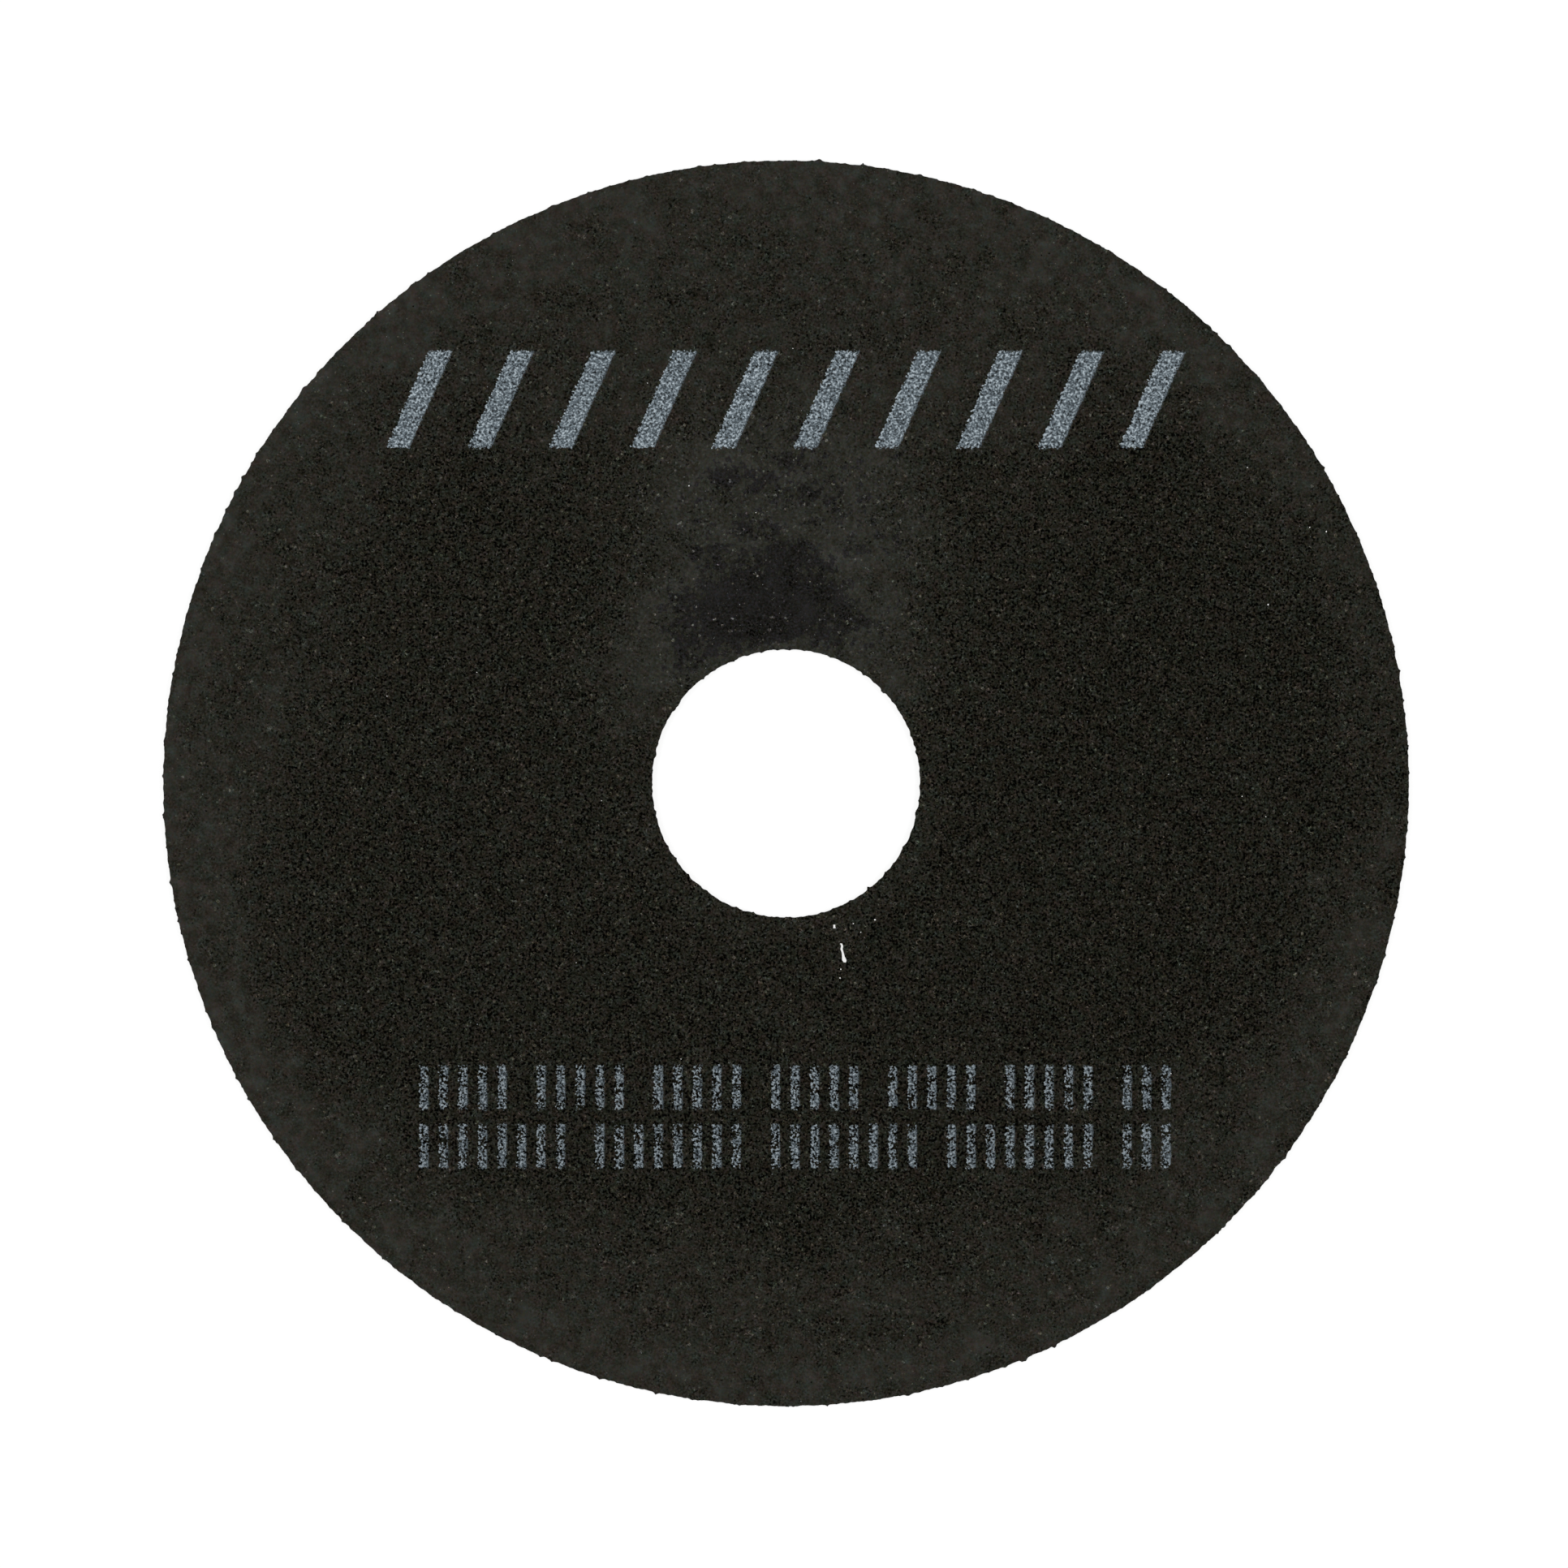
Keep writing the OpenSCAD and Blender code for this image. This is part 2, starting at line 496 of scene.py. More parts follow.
def relief_tree():
    """Roughens the faces of the body with low waves, and its rim and bore with crumbling."""
    tree, put, given = new_tree(
        "wheel_relief", Float=(*RELIEF_SIZES, "Halfway", "Edge Start"), Material=("Material",))
    place = put("GeometryNodeInputPosition")
    normal = put("GeometryNodeInputNormal")
    up = put(AXES, (normal,), out=2)
    flat = put(MATH, (up,), "ABSOLUTE")
    steep = put(MATH, (1.0, flat), "SUBTRACT")
    across = put(VECTOR, (place, (1, 1, 0)), "MULTIPLY")
    radius = put(VECTOR, (across,), "LENGTH", out="Value")
    outer = put(MATH, (radius, given["Halfway"]), "GREATER_THAN")
    off = put(MATH, (radius, given["Halfway"]), "SUBTRACT")
    away = put(MATH, (off,), "ABSOLUTE")
    at_edge = put(MATH, (away, given["Edge Start"]), "GREATER_THAN")
    wall = put(MATH, (steep, at_edge), "MULTIPLY")
    edge_height = put(MIX, {0: outer, 2: given["Bore Roughness"], 3: given["Rim Roughness"]})

    def swing(where, width):
        """Waves of about -1 to 1 of the given width."""
        scale = put(MATH, (1.0, given[width]), "DIVIDE")
        waves = put("ShaderNodeTexNoise", {"Vector": where, "Scale": scale, "Detail": 2.0})
        return put(RANGE, {0: waves, 1: 0.25, 2: 0.75, 3: -1.0, 4: 1.0})

    low = swing(place, "Relief Width")
    for factor in (given["Face Relief"], flat):
        low = put(MATH, (low, factor), "MULTIPLY")
    # Drawn out along the axis, so that the bites run through most of the thickness
    drawn = put(VECTOR, (place, (1, 1, 0.4)), "MULTIPLY")
    crumble = swing(drawn, "Edge Grain")
    rare = put(MATH, (crumble, 3.0), "POWER")
    rare = put(MATH, (rare, given["Edge Chips"]), "MULTIPLY")
    edge = put(MATH, (crumble, edge_height, rare), "MULTIPLY_ADD")
    total = put(MATH, (edge, wall, low), "MULTIPLY_ADD")
    offset = put(VECTOR, {0: normal, "Scale": total}, "SCALE")
    rough = put("GeometryNodeSetPosition", {"Geometry": given["Geometry"], "Offset": offset})

    plain = put("GeometryNodeRealizeInstances", {"Geometry": rough})
    dressed = put("GeometryNodeSetMaterial", {"Geometry": plain, "Material": given["Material"]})
    put("NodeGroupOutput", {"Geometry": dressed})
    return tree


def grain_tree():
    """Scatters angular grains over the part of the body between these radii, heights and facings."""
    tree, put, given = new_tree("wheel_grains", Float=(
        "Least Radius", "Most Radius", "Least Height", "Most Height", "Least Facing", "Most Facing",
        "Spacing", "Width", "Flatness", "Sink"), Int=("Seed",), Material=("Material",))
    seed = given["Seed"]
    place = put("GeometryNodeInputPosition")
    across = put(VECTOR, (place, (1, 1, 0)), "MULTIPLY")
    radius = put(VECTOR, (across,), "LENGTH", out="Value")
    height = put(AXES, (place,), out=2)
    facing = put(AXES, (put("GeometryNodeInputNormal"),), out=2)
    in_pit, stain = (
        put("GeometryNodeInputNamedAttribute", {"Name": name}, data_type="FLOAT") for name in (PIT, STAIN))
    chosen = put(MATH, (in_pit, 0.01), "LESS_THAN")
    for value, name in ((radius, "Radius"), (height, "Height"), (facing, "Facing")):
        for end, test in (("Least ", "GREATER_THAN"), ("Most ", "LESS_THAN")):
            part = put(MATH, (value, given[end + name]), test)
            chosen = put(MATH, (chosen, part), "MULTIPLY")
    # Up to five times as many in the smudge's core
    more = put(RANGE, {0: stain, 1: 0.55, 3: 1.0, 4: 5.0})
    density = put(MATH, (given["Spacing"], -2.0), "POWER")
    density = put(MATH, (density, more), "MULTIPLY")
    spread = put("GeometryNodeDistributePointsOnFaces", {
        "Mesh": given["Geometry"], "Selection": chosen, "Density": density, "Seed": seed}).node.outputs
    down = put(MATH, (given["Sink"], -1.0), "MULTIPLY")
    inward = put(VECTOR, {0: spread["Normal"], "Scale": down}, "SCALE")
    sunk = put("GeometryNodeSetPosition", {"Geometry": spread["Points"], "Offset": inward})
    tone, turn = (
        put(RANDOM, {2: 0.0, 3: most, "Seed": seed}, out=1, data_type="FLOAT") for most in (1.0, math.tau))
    toned = put("GeometryNodeStoreNamedAttribute", {"Geometry": sunk, "Name": TONE, "Value": tone},
                data_type="FLOAT", domain="POINT")

    # A ball of twenty facets, knocked out of shape
    ball = put("GeometryNodeMeshIcoSphere", {"Radius": 0.5, "Subdivisions": 1})
    knock = put(RANDOM, {0: (-0.1,) * 3, 1: (0.1,) * 3, "Seed": 3}, data_type="FLOAT_VECTOR")
    chip = put("GeometryNodeSetPosition", {"Geometry": ball, "Offset": knock})
    stretch = put(RANDOM, {
        0: (0.65, 0.65, 0.8), 1: (1.25, 1.25, 1.15), "Seed": seed}, data_type="FLOAT_VECTOR")
    shape = put("ShaderNodeCombineXYZ", (1.0, 1.0, given["Flatness"]))
    proportions = put(VECTOR, (stretch, shape), "MULTIPLY")
    size = put(VECTOR, {0: proportions, "Scale": given["Width"]}, "SCALE")
    spin = put("FunctionNodeAxisAngleToRotation", {"Axis": (0, 0, 1), "Angle": turn})
    rotation = put("FunctionNodeRotateRotation", (spread["Rotation"], spin), rotation_space="LOCAL")
    grains = put("GeometryNodeInstanceOnPoints", {
        "Points": toned, "Instance": chip, "Rotation": rotation, "Scale": size})
    plain = put("GeometryNodeRealizeInstances", {"Geometry": grains})
    faceted = put("GeometryNodeSetShadeSmooth", {"Geometry": plain, "Shade Smooth": False})
    dressed = put("GeometryNodeSetMaterial", {"Geometry": faceted, "Material": given["Material"]})
    put("NodeGroupOutput", {"Geometry": dressed})
    return tree


# Materials

# Settings of a node that mixes two colours, and of one that multiplies them
BLEND = {"data_type": "RGBA", "out": 2}
TINT = {"blend_type": "MULTIPLY", **BLEND}


def new_material(name):
    """A material, what adds a node to it, and what fills the inputs of its shader."""
    material = bpy.data.materials.new(name)
    material.use_nodes = True
    tree = material.node_tree
    return material, partial(add_node, tree), partial(fill, tree, tree.nodes["Principled BSDF"])


def rgba(value):
    return (*value, 1.0)


def ramp(socket, stops):
    """Sets the stops of a colour ramp, given by one of its outputs, and returns that output."""
    elements = socket.node.color_ramp.elements
    while len(elements) < len(stops):
        elements.new(1.0)
    for element, (place, value) in zip(elements, stops):
        element.position = place
        element.color = rgba(value)
    return socket


def printed_marks(put, place, marks):
    """Where the marks are printed, as 1 or 0: the slanted bars, and the two rows of dashes."""
    x, y, _ = put(AXES, (place,)).node.outputs

    def strokes(along, pitch, width, count):
        """Upright strokes of this width, in count places about the middle, and their numbers."""
        steps = put(MATH, (along, 1 / pitch, count / 2), "MULTIPLY_ADD")
        cell = put(MATH, (steps,), "FRACT")
        stroke = put(MATH, (cell, 0.5, width / pitch / 2), "COMPARE")
        inside = put(MATH, (steps, count / 2, count / 2), "COMPARE")
        return put(MATH, (stroke, inside), "MULTIPLY"), put(MATH, (steps,), "FLOOR")

    rise = put(MATH, (y, marks.bar_y / MM), "SUBTRACT")
    upright = put(MATH, (rise, -math.tan(marks.bar_slant), x), "MULTIPLY_ADD")
    bars, _ = strokes(upright, marks.bar_pitch / MM, marks.bar_width / MM, marks.bar_count)
    strip = put(MATH, (rise, 0.0, marks.bar_height / MM / 2), "COMPARE")
    bars = put(MATH, (bars, strip), "MULTIPLY")

    dash, number = strokes(x, marks.dash_pitch / MM, marks.dash_width / MM, marks.dash_count)
    dashes = 0.0
    # Every sixth place of the upper row and every ninth of the lower one is left free
    for side, group in ((0.5, 6), (-0.5, 9)):
        middle = (marks.dash_y + side * marks.row_pitch) / MM
        strip = put(MATH, (y, middle, marks.dash_height / MM / 2), "COMPARE")
        in_group = put(MATH, (number, group), "FLOORED_MODULO")
        printed = put(MATH, (in_group, 0.5), "GREATER_THAN")
        line = dash
        for part in (printed, strip):
            line = put(MATH, (line, part), "MULTIPLY")
        dashes = put(MATH, (dashes, line), "MAXIMUM")
    return bars, dashes


def ink_over(put, skin, place, fine, patch, colours, marks, body):
    """The skin with the worn marks printed on its upper face."""
    drift = put(VECTOR, (fine["Color"], (0.5,) * 3), "SUBTRACT")
    frayed = put(VECTOR, (drift, (1.2, 1.2, 0), place), "MULTIPLY_ADD")
    bars, dashes = printed_marks(put, frayed, marks)
    # The bars are nearly full, and the dashes are worn off in patches
    full = put(MATH, (fine[0], 0.36), "GREATER_THAN")
    worn = put(MATH, (patch[0], 0.6, fine[0]), "MULTIPLY_ADD")
    patchy = put(MATH, (worn, 0.78), "GREATER_THAN")
    inked = put(MATH, (bars, full), "MULTIPLY")
    dashed = put(MATH, (dashes, patchy), "MULTIPLY")
    inked = put(MATH, (inked, dashed), "MAXIMUM")
    height = put(AXES, (place,), out=2)
    middle = (body.top + body.bottom) / 2 / MM
    upper = put(MATH, (height, middle), "GREATER_THAN")
    inked = put(MATH, (inked, upper), "MULTIPLY")
    ink = ramp(put(RAMP, (fine[0],)), (
        (0.38, colours.ink_dark), (0.52, colours.ink), (0.66, colours.ink_pale)))
    thin = put(RANGE, {0: dashes, 3: 1.0, 4: 0.7})
    ink = put(MIX, {0: 1.0, 6: ink, 7: thin}, **TINT)
    return put(MIX, {0: inked, 6: skin, 7: ink}, **BLEND)


def pore_distance(put, porosity, cells, chance, fine, patch):
    """Distance from the lip of the nearest pore, in cells of the pattern, and below 0 in the pore."""
    crowd = put(MATH, (patch, 1.7, porosity), "MULTIPLY_ADD")
    opened = put(RANGE, {0: crowd, 1: 0.92, 2: 1.84})
    opened = put(MATH, (opened, chance[1]), "GREATER_THAN")
    uneven = put(RANGE, {0: chance[0], 3: 0.3, 4: 0.85})
    widest = put(MATH, (opened, uneven), "MULTIPLY")
    ragged = put(RANGE, {0: fine, 3: -0.9, 4: 0.9})
    gap = put(MATH, (cells["Distance"], widest), "SUBTRACT")
    return put(MATH, (gap, ragged), "ADD")


def painted_glints(put, porosity, core, chance, gap):
    """How much a painted highlight brightens a lip, as a glint: a third of them glint, few strongly, and
    most in the smudge's core.
    """
    usual = put(RANGE, {0: porosity, 3: 3.8, 4: 4.8})
    brightest = put(RANGE, {0: core, 3: usual, 4: 18.0})
    rarest = put(RANGE, {0: core, 3: 0.66, 4: 0.62})
    lit = put(RANGE, {0: chance, 1: rarest, 2: 1.0})
    lit = put(MATH, (lit, 3.0), "POWER")
    lit = put(MATH, (lit, brightest), "MULTIPLY")
    edge = put(RANGE, {0: gap, 1: 0.32, 2: 0.12})
    return put(MATH, (lit, edge, 1.0), "MULTIPLY_ADD")


def bonded_abrasive(colours, marks, body):
    """Aluminium oxide grain in resin, pressed between flat plates and cured.

    The eye sees a matt olive grey skin of fine grain, broken by small pores that are painted black as
    shade, with lips painted pale as highlights, thick in the open field and rare in the dense band at the
    rim, and a mottled dark smudge.
    """
    pore_mm, fine_mm, patch_mm = 0.35, 0.27, 1.2
    material, put, finish = new_material("resin_bonded_abrasive_pressed")
    place = put(VECTOR, {0: put("ShaderNodeTexCoord", out="Object"), "Scale": 1 / MM}, "SCALE")
    porosity, stain, pit = (
        put("ShaderNodeAttribute", out="Fac", attribute_name=name) for name in (POROSITY, STAIN, PIT))
    # Turned out of the plane of the faces, so that no grid of the textures shows in them
    turned = put("ShaderNodeMapping", {"Vector": place, "Rotation": (0.6, 0.4, 0.3)})
    fine, patch = (put("ShaderNodeTexNoise", {
        "Vector": turned, "Scale": 1 / width, "Detail": 2.0, "Roughness": 0.6}).node.outputs
        for width in (fine_mm, patch_mm))
    cells = put("ShaderNodeTexVoronoi", {"Vector": turned, "Scale": 1 / pore_mm},
                distance="MANHATTAN").node.outputs
    chance = put("ShaderNodeSeparateColor", (cells["Color"],)).node.outputs
    gap = pore_distance(put, porosity, cells, chance, fine[0], patch[0])

    # Each grain is smudged or not, and more of them where the stain is strong
    smudged = put(MATH, (stain, 1.5), "MULTIPLY")
    for value, weight in ((patch[0], 2.8), (fine[0], 0.8), (chance[0], -0.45)):
        smudged = put(MATH, (value, weight, smudged), "MULTIPLY_ADD")
    smudge = put(RANGE, {0: smudged, 1: 2.33, 2: 2.59}, interpolation_type="SMOOTHSTEP")
    wiped = put(RANGE, {0: stain, 2: 0.5})
    bare = put(MATH, (wiped, smudge), "SUBTRACT", use_clamp=True)

    # Painted shade makes a pore black and a painted highlight makes its lip pale, both weaker where the
    # surface is dense
    lip = put(RANGE, {0: gap, 1: -0.35, 2: 0.75})
    pore_shade_lip_highlight = ramp(put(RAMP, (lip,)), [
        (at, (tone,) * 3)
        for at, tone in ((0.0, 0.03), (0.2, 0.2), (0.42, 0.85), (0.55, 1.0), (1.0, 0.75))])
    shallow = put(RANGE, {0: porosity, 1: 0.0, 2: 0.9, 3: 0.5, 4: 0.0})
    pore_shade_lip_highlight = put(MIX, {0: shallow, 6: pore_shade_lip_highlight, 7: rgba((0.85,) * 3)}, **BLEND)

    bond = ramp(put(RAMP, (patch["Color"],)), (
        (0.36, colours.bond_brown), (0.5, colours.bond), (0.64, colours.bond_green)))
    for factor, over in ((wiped, colours.bond_wiped), (smudge, colours.stain)):
        bond = put(MIX, {0: factor, 6: bond, 7: rgba(over)}, **BLEND)
    grainy = put("ShaderNodeSeparateColor", (fine["Color"],)).node.outputs
    hue = ramp(put(RAMP, (grainy[1],)), (
        (0.3, (1.0, 0.83, 0.83)), (0.5, (0.915, 0.93, 0.91)), (0.7, (0.82, 0.99, 0.93))))

    # Light and dark grain, strongest in the open field
    doubled = put(MATH, (fine[0], 2.0), "MULTIPLY")
    contrast = put(RANGE, {0: porosity, 3: 1.1, 4: 3.1}, clamp=False)
    for value, weight in ((smudge, 0.5), (bare, -0.4)):
        contrast = put(MATH, (value, weight, contrast), "MULTIPLY_ADD")
    grain = put(MATH, (doubled, contrast), "POWER")
    # Blotches of bond, stronger in the dense parts
    least = put(RANGE, {0: porosity, 3: 0.3, 4: 0.65})
    most = put(MATH, (2.0, least), "SUBTRACT")
    mottle = put(RANGE, {0: patch[0], 3: least, 4: most})
    # Where the bond is wiped, each grain has a tone of its own
    apart = put(RANGE, {0: chance[2], 3: -0.3, 4: 0.36})
    apart = put(MATH, (apart, bare, 1.0), "MULTIPLY_ADD")
    # Painted shade: the colour darkens towards the floor of each sunk pit
    dark = put(RANGE, {0: pit, 1: 0.0, 2: 0.6, 3: 1.0, 4: 0.12})
    shade = put(RANGE, {0: porosity, 3: 1.43, 4: 0.761}, clamp=False)
    for factor in (mottle, apart, grain, dark):
        shade = put(MATH, (shade, factor), "MULTIPLY")
    # Bright grain is made colder than dark grain, partly as painted sheen: the whiter look of reflected
    # light on bright grain
    blue_with_sheen = put(MATH, (shade, 1.18), "POWER")
    bluish = put(RANGE, {0: grainy[2], 1: 0.3, 2: 0.7, 3: 0.78, 4: 1.22})
    blue_with_sheen = put(MATH, (blue_with_sheen, bluish), "MULTIPLY")
    light = put("ShaderNodeCombineColor", (shade, shade, blue_with_sheen))
    # Painted highlights glint on lips and bare corners of grain, most of all in the smudge's core
    core = put(RANGE, {0: stain, 1: 0.4, 2: 0.95})
    core = put(MATH, (core, smudge), "MULTIPLY")
    glint = painted_glints(put, porosity, core, chance[2], gap)
    light = put(VECTOR, {0: light, "Scale": glint}, "SCALE")
    skin = bond
    for factor in (hue, pore_shade_lip_highlight, light):
        skin = put(MIX, {0: 1.0, 6: skin, 7: factor}, **TINT)
    face = ink_over(put, skin, place, fine, patch, colours, marks, body)

    hollow = put(RANGE, {0: gap, 1: -0.3, 2: 0.15})
    relief = put(MATH, (fine[0], hollow), "ADD")
    bump = put("ShaderNodeBump", {"Strength": 0.5, "Distance": 0.06 * MM, "Height": relief})
    finish({"Base Color": face, "Normal": bump, "Roughness": 0.92, "Specular IOR Level": 0.012})
    return material


def bare_grain(colours):
    """Crushed brown aluminium oxide, fractured: dull facets, a few of them pale, the palest partly a
    painted glint.
    """
    material, put, finish = new_material("crushed_aluminium_oxide_grain")
    tone = put("ShaderNodeAttribute", out="Fac", attribute_name=TONE)
    # The palest end of the ramp is partly pale grain and partly a painted glint
    facet = ramp(put(RAMP, (tone,)), (
        (0.0, colours.grain_dark), (0.7, colours.grain), (1.0, colours.grain_pale_glint)))
    finish({"Base Color": facet, "Roughness": 0.7, "Specular IOR Level": 0.1})
    return material


def chip_dust(colours):
    """Chalky dust and fresh chips of broken grain: nearly white and dull."""
    material, put, finish = new_material("chalky_chip_dust")
    place = put("ShaderNodeTexCoord", out="Object")
    powder_size = 0.2 * MM
    powder = put("ShaderNodeTexNoise", {"Vector": place, "Scale": 1 / powder_size, "Detail": 2.0})
    shade = put(RANGE, {0: powder, 1: 0.3, 2: 0.7, 3: 0.9, 4: 1.0})
    tint = put(MIX, {0: 1.0, 6: rgba(colours.chip), 7: shade}, **TINT)
    finish({"Base Color": tint, "Roughness": 0.9})
    return material


# Pieces


def new_piece(name, mesh):
    """An object at the origin for a finished mesh."""
    piece = bpy.data.objects.new(name, mesh)
    bpy.context.scene.collection.objects.link(piece)
    return piece


def fix(piece):
    """The piece moves with the wheel."""
    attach(piece, BODY)


class WHEEL_OT_body(bpy.types.Operator):
    """Builds the pressed body with its crumbled edges and open pores"""

    bl_idname = "wheel.body"
    bl_label = "Build Body"

    def execute(self, context):
        scene = context.scene
        body = scene.wheel_body
        piece = new_piece("pressed_disc", surface_mesh(body))
        run_tree(piece, relief_tree(), {
            **{name: getattr(body, name.lower().replace(" ", "_")) for name in RELIEF_SIZES},
            "Halfway": (body.rim_radius + body.bore_radius) / 2,
            "Edge Start": (body.rim_radius - body.bore_radius) / 2 - EDGE_ZONE,
            "Material": bonded_abrasive(scene.wheel_colours, scene.wheel_marks, body),
        })
        piece.data.shade_smooth()
        piece.data.set_sharp_from_angle(angle=math.radians(28))
        lay_out_map(piece.data, body)
        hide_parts(NODE)
        fix(piece)
        return {"FINISHED"}


class WHEEL_OT_grains(bpy.types.Operator):
    """Scatters the grains that stand out of the rim, the bore and both faces"""

    bl_idname = "wheel.grains"
    bl_label = "Scatter Grains"

    def execute(self, context):
        scene = context.scene
        body, grains = scene.wheel_body, scene.wheel_grains
        tree = grain_tree()
        material = bare_grain(scene.wheel_colours)
        far = 2 * body.rim_radius
        inner, outer = body.bore_radius + EDGE_ZONE, body.rim_radius - EDGE_ZONE
        rim, bore, faces = (outer, far), (0, inner), (inner, outer)
        # The walls without their corners
        corner = 0.28 * MM
        walls, anywhere = (body.bottom + corner, body.top - corner), (-far, far)
        # How much a facet looks up, from -1 to 1
        sideways, up, down = (-0.7, 0.7), (0.97, 2), (-2, -0.97)
        for number, (name, radii, heights, facing, spacing, flatness, sink) in enumerate((
                ("rim_grains", rim, walls, sideways, grains.edge_spacing, 0.8, 0.05 * MM),
                ("bore_grains", bore, walls, sideways, grains.edge_spacing, 0.7, 0.05 * MM),
                ("upper_face_grains", faces, anywhere, up, grains.upper_spacing, 0.3, 0.025 * MM),
                ("lower_face_grains", faces, anywhere, down, grains.lower_spacing, 0.3, 0.032 * MM))):
            piece = new_piece(name, bpy.data.objects["pressed_disc"].data.copy())
            values = {"Spacing": spacing, "Width": grains.width, "Flatness": flatness, "Sink": sink,
                      "Seed": body.seed + number, "Material": material}
            for label, (least, most) in (("Radius", radii), ("Height", heights), ("Facing", facing)):
                values["Least " + label] = least
                values["Most " + label] = most
            run_tree(piece, tree, values)
            fix(piece)
        return {"FINISHED"}


class WHEEL_OT_chips(bpy.types.Operator):
    """Places the white chips and dust near the bore and on the right"""

    bl_idname = "wheel.chips"
    bl_label = "Place Chips"

    # Middle and half width in millimetres, along two streaks below the bore and then of the clear specks
    STREAKS = (
        ((6.6, -19.25, 0.12), (6.75, -19.53, 0.12), (6.68, -19.93, 0.13), (6.82, -20.37, 0.13),
         (6.9, -20.82, 0.17), (7.01, -21.26, 0.26), (7.09, -21.53, 0.14)),
        ((5.81, -17.0, 0.12), (5.8, -17.2, 0.11), (5.82, -17.42, 0.14)),
    )
    SPECKS = ((10.7, -16.4, 0.1), (6.6, -22.35, 0.08), (6.5, -23.4, 0.09), (9, -17.9, 0.06),
              (55.5, 38, 0.08), (63, 30.8, 0.09), (65, 30.3, 0.08), (58, 21.5, 0.09), (-48, 10.5, 0.08))
    # Number of faint specks strewn over the face
    DUST = 15

    def execute(self, context):
        scene = context.scene
        body = scene.wheel_body
        rng = np.random.default_rng(body.seed)
        skin = body.top - body.face_setback
        build = bmesh.new()

        def point(x, y, height):
            return build.verts.new((x * MM, y * MM, height))

        def close(ring, over, under):
            """Joins a ring of points to the points over and under it, which follow the ring's order."""
            for k in range(len(ring)):
                for ends, turned in ((over, False), (under, True)):
                    face = list(dict.fromkeys((ring[k - 1], ring[k], ends[k], ends[k - 1])))
                    build.faces.new(face[::-1] if turned else face)

        specks = list(self.SPECKS)
        least, most = body.bore_radius / MM + 2, body.rim_radius / MM - 3
        for _ in range(self.DUST):
            out = math.sqrt(rng.uniform(least ** 2, most ** 2))
            turn = rng.uniform(0, math.tau)
            specks.append((out * math.cos(turn), out * math.sin(turn), rng.uniform(0.05, 0.07)))
        sides = 9
        turns = np.arange(sides) * math.tau / sides
        for x, y, half in specks:
            reach = half * rng.uniform(0.75, 1.2, sides)
            ring = [point(x + r * math.cos(a), y + r * math.sin(a), skin) for r, a in zip(reach, turns)]
            over, under = point(x, y, body.top), point(x, y, skin - body.face_setback)
            close(ring, [over] * sides, [under] * sides)
        for streak in self.STREAKS:
            left = [point(x - half, y, skin) for x, y, half in streak]
            right = [point(x + half, y, skin) for x, y, half in streak]
            over = [point(x, y, body.top) for x, y, _ in streak]
            under = [point(x, y, skin - body.face_setback) for x, y, _ in streak]
            close(left + right[::-1], over + over[::-1], under + under[::-1])
        mesh = bpy.data.meshes.new("white_chips")
        build.to_mesh(mesh)
        build.free()
        mesh.materials.append(chip_dust(scene.wheel_colours))
        fix(new_piece("white_chips", mesh))
        return {"FINISHED"}


# Stage


def white_where_seen(put, seen, unseen):
    """The value seen where the camera, a mirror or glass looks, and unseen where light falls."""
    path = put("ShaderNodeLightPath").node.outputs
    looks = path["Is Camera Ray"]
    for ray in ("Is Glossy Ray", "Is Transmission Ray"):
        looks = put(MATH, (looks, path[ray]), "MAXIMUM")
    return put(RANGE, {0: looks, 3: unseen, 4: seen})


def table_board(colours):
    """White board, matt: it shows pure white and keeps a soft shadow under the wheel."""
    material, put, finish = new_material("matt_white_board")
    # Share of the light that it sends back, and its glow where it is seen
    bounce, glow = 0.3, 0.8
    finish({
        "Base Color": rgba([bounce * c for c in colours.floor]),
        "Roughness": 1.0,
        "Specular IOR Level": 0.0,
        "Emission Color": rgba(colours.floor),
        "Emission Strength": white_where_seen(put, glow, 0.0),
    })
    return material


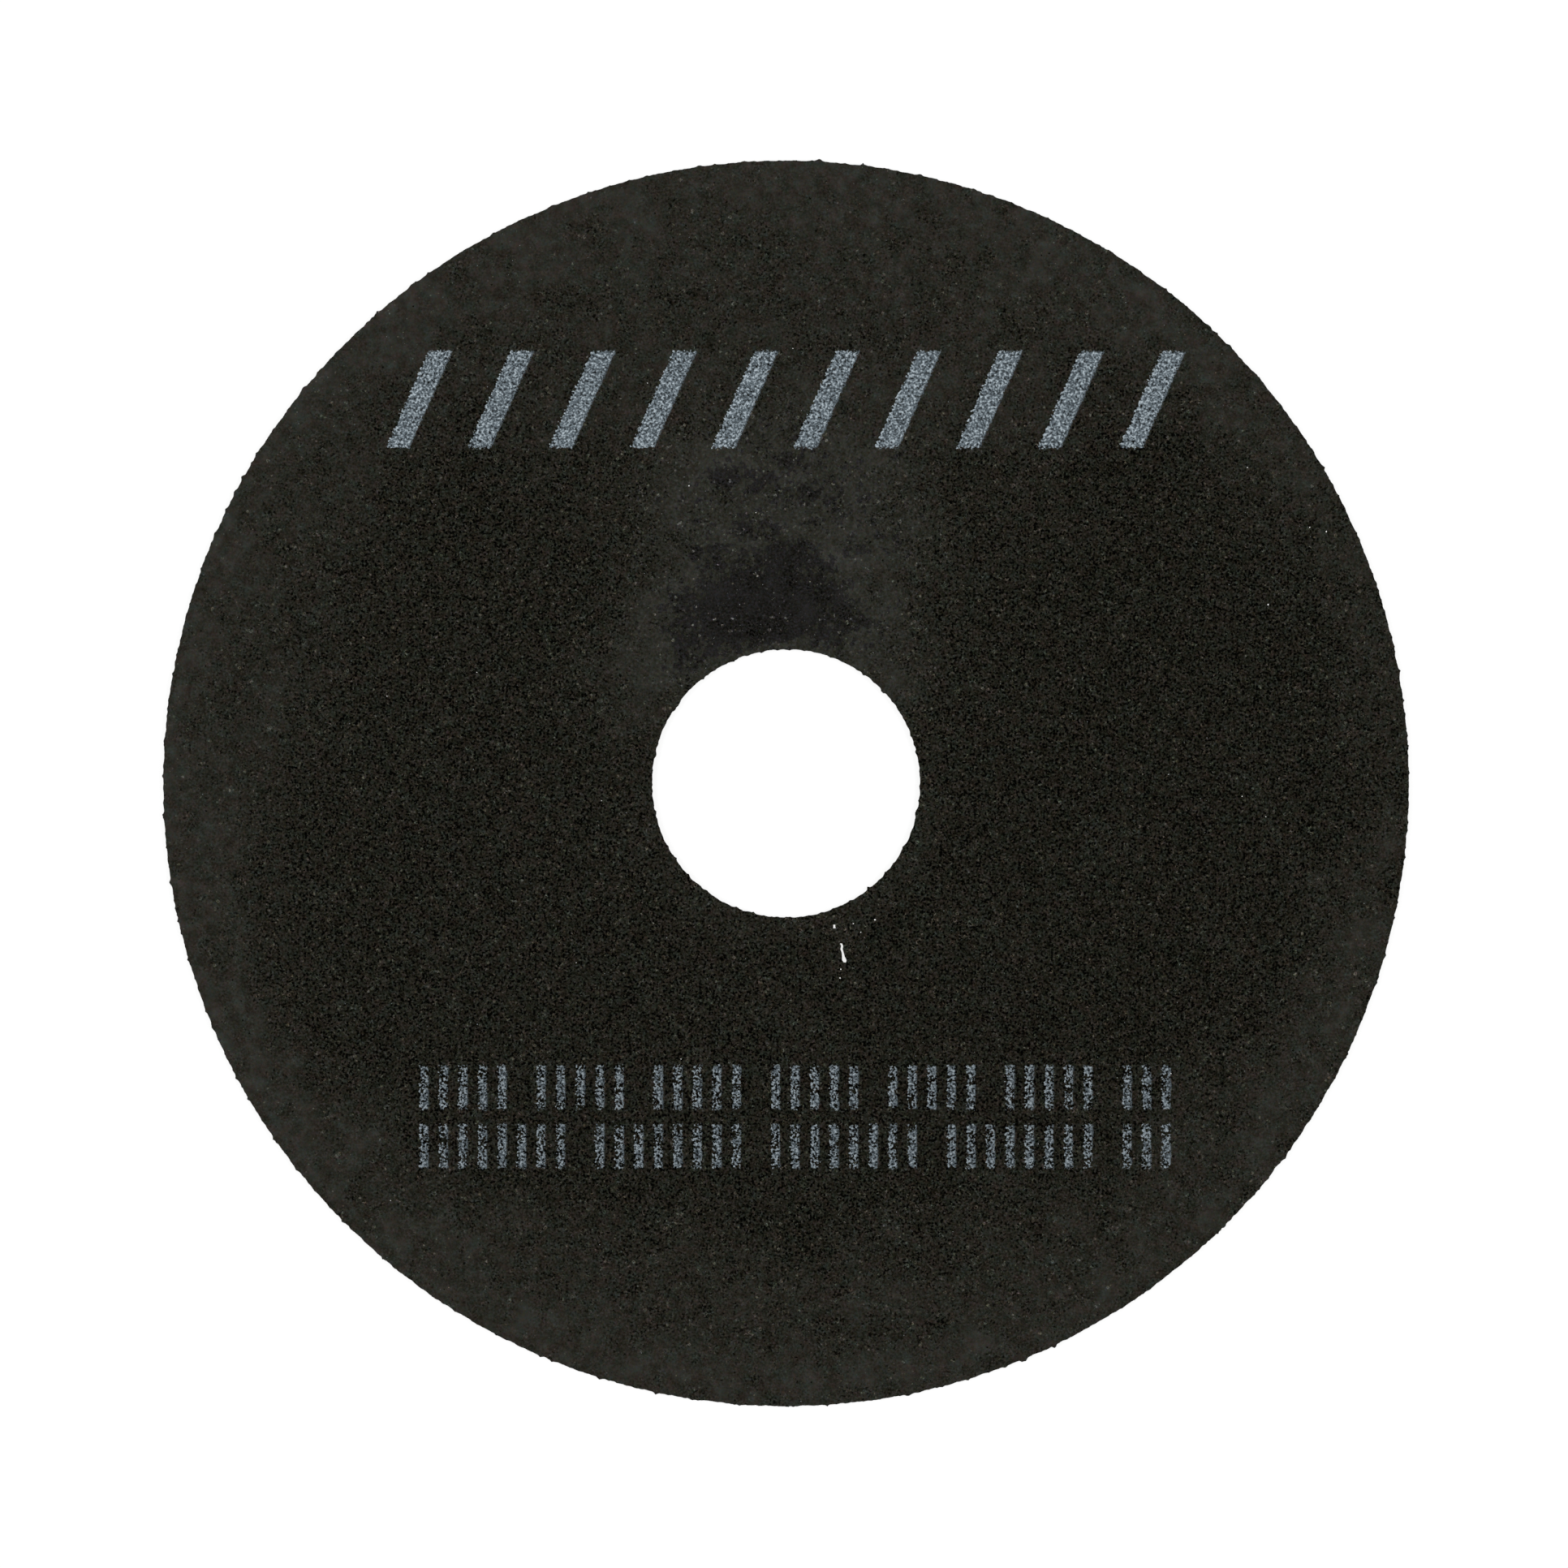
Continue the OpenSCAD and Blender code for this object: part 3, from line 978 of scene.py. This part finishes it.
class WHEEL_OT_stage(bpy.types.Operator):
    """Builds the floor, the soft light and the camera straight above the wheel"""

    bl_idname = "wheel.stage"
    bl_label = "Build Stage"

    def execute(self, context):
        scene = context.scene
        stage, body = scene.wheel_stage, scene.wheel_body
        half = stage.floor_size / 2
        # A hair below the wheel
        under = body.bottom - 0.02 * MM
        corners = [(x * half, y * half, under) for x, y in ((-1, -1), (1, -1), (1, 1), (-1, 1))]
        mesh = bpy.data.meshes.new("floor")
        mesh.from_pydata(corners, [], [(0, 1, 2, 3)])
        mesh.materials.append(table_board(scene.wheel_colours))
        new_piece("floor", mesh)

        for name, side in (("left_lamp", -1), ("right_lamp", 1)):
            lamp = bpy.data.lights.new(name, "AREA")
            lamp.size = stage.lamp_size
            # The power that lights a white face at the wheel to the level
            lamp.energy = (stage.lamp_level * math.pi ** 2 * stage.lamp_distance ** 2
                           / math.cos(stage.lamp_tilt))
            holder = new_piece(name, lamp)
            tilt = Euler((0, side * stage.lamp_tilt, 0))
            holder.rotation_euler = tilt
            holder.location = tilt.to_matrix() @ Vector((0, 0, stage.lamp_distance))

        world = bpy.data.worlds.new("soft_room")
        world.use_nodes = True
        tree = world.node_tree
        strength = white_where_seen(partial(add_node, tree), 1.0, stage.ambient)
        fill(tree, tree.nodes["Background"], {"Color": (1, 1, 1, 1), "Strength": strength})
        scene.world = world

        camera = bpy.data.cameras.new("camera")
        camera.lens = stage.focal_mm
        camera.sensor_width = stage.sensor_mm
        camera.dof.use_dof = False
        above = stage.view_width * stage.focal_mm / stage.sensor_mm
        holder = new_piece("camera", camera)
        holder.location = (stage.aim_x, stage.aim_y, body.top + above)
        scene.camera = holder
        scene.view_settings.view_transform = "Standard"
        return {"FINISHED"}


class WHEEL_PT_panel(bpy.types.Panel):
    """Sizes, colours and steps of the wheel"""

    bl_label = "Cutting-off Wheel"
    bl_idname = "WHEEL_PT_panel"
    bl_space_type = "VIEW_3D"
    bl_region_type = "UI"
    bl_category = "Wheel"

    def draw(self, context):
        for name, group in GROUPS.items():
            box = self.layout.box()
            box.label(text=group.__doc__)
            settings = getattr(context.scene, name)
            for prop in group.__annotations__:
                box.prop(settings, prop)
        for operator in OPERATORS:
            self.layout.operator(operator.bl_idname)


GROUPS = {
    "wheel_body": WHEEL_PG_body,
    "wheel_grains": WHEEL_PG_grains,
    "wheel_marks": WHEEL_PG_marks,
    "wheel_colours": WHEEL_PG_colours,
    "wheel_stage": WHEEL_PG_stage,
}
OPERATORS = (WHEEL_OT_body, WHEEL_OT_grains, WHEEL_OT_chips, WHEEL_OT_stage)


def register():
    for name, group in GROUPS.items():
        bpy.utils.register_class(group)
        setattr(bpy.types.Scene, name, bpy.props.PointerProperty(type=group))
    for operator in OPERATORS:
        bpy.utils.register_class(operator)
    bpy.utils.register_class(WHEEL_PT_panel)


def unregister():
    bpy.utils.unregister_class(WHEEL_PT_panel)
    for operator in reversed(OPERATORS):
        bpy.utils.unregister_class(operator)
    for name, group in GROUPS.items():
        delattr(bpy.types.Scene, name)
        bpy.utils.unregister_class(group)


def main():
    register()
    bpy.ops.wheel.body()
    bpy.ops.wheel.grains()
    bpy.ops.wheel.chips()
    bpy.ops.wheel.stage()


if __name__ == "__main__":
    main()
